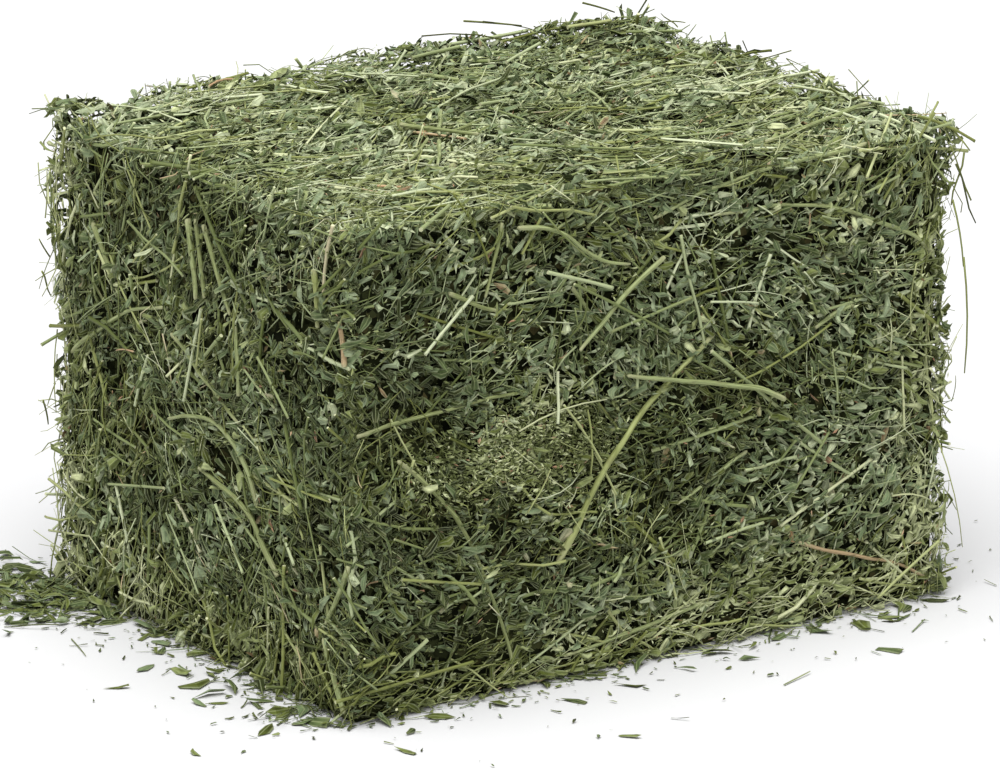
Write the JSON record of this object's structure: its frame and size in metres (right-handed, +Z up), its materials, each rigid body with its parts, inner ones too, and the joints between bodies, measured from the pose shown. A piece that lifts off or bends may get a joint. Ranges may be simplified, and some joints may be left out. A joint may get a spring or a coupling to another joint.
{
  "type": "square hay bale",
  "caption": "Pressed block of leafy green hay with square sides, rough faces and loose stems, lying on its long flat side.",
  "frame": {"origin": "on the floor under the middle of the bale", "axes": "+X along the long side, +Y from the front face to the back face, the way the flakes are stacked, +Z up"},
  "size_m": [0.52, 0.397, 0.3569],
  "materials": {
    "hay": "matt dried leaf and chopped stem",
    "stem_pale": "dry, slightly waxy",
    "stem_green": "dry, slightly waxy",
    "stem_gold": "dry, slightly waxy",
    "stem_tan": "dry, bleached"
  },
  "bodies": {
    "root": {"flake_01": "hay", "flake_02": "hay", "flake_03": "hay", "flake_04": "hay", "flake_05": "hay", "flake_06": "hay", "flake_07": "hay", "flake_08": "hay", "flake_09": "hay", "flake_10": "hay", "stem_front_01": "stem_pale", "stem_front_02": "stem_gold", "stem_front_03": "stem_green", "stem_front_04": "stem_tan", "stem_front_05": "stem_pale", "stem_front_06": "stem_pale", "stem_front_07": "stem_green", "stem_front_08": "stem_green", "stem_front_09": "stem_pale", "stem_front_10": "stem_green", "stem_front_11": "stem_pale", "stem_front_12": "stem_green", "stem_front_13": "stem_green", "stem_front_14": "stem_pale", "stem_front_15": "stem_pale", "stem_front_16": "stem_pale", "stem_left_01": "stem_gold", "stem_left_02": "stem_tan", "stem_left_03": "stem_pale", "stem_left_04": "stem_green", "stem_left_05": "stem_green", "stem_left_06": "stem_pale", "stem_left_07": "stem_pale", "stem_left_08": "stem_pale", "stem_left_09": "stem_green", "stem_left_10": "stem_green", "stem_left_11": "stem_pale", "stem_left_12": "stem_pale", "stem_left_13": "stem_green", "stem_top_01": "stem_pale", "stem_top_02": "stem_pale", "stem_top_03": "stem_green", "stem_top_04": "stem_green", "stem_top_05": "stem_green", "stem_top_06": "stem_pale", "stem_top_07": "stem_pale", "stem_top_08": "stem_green", "stem_back_01": "stem_pale", "stem_back_02": "stem_green", "stem_back_03": "stem_green", "stem_back_04": "stem_gold", "stem_right_01": "stem_pale", "stem_right_02": "stem_green", "stem_right_03": "stem_pale"}
  },
  "joints": []
}
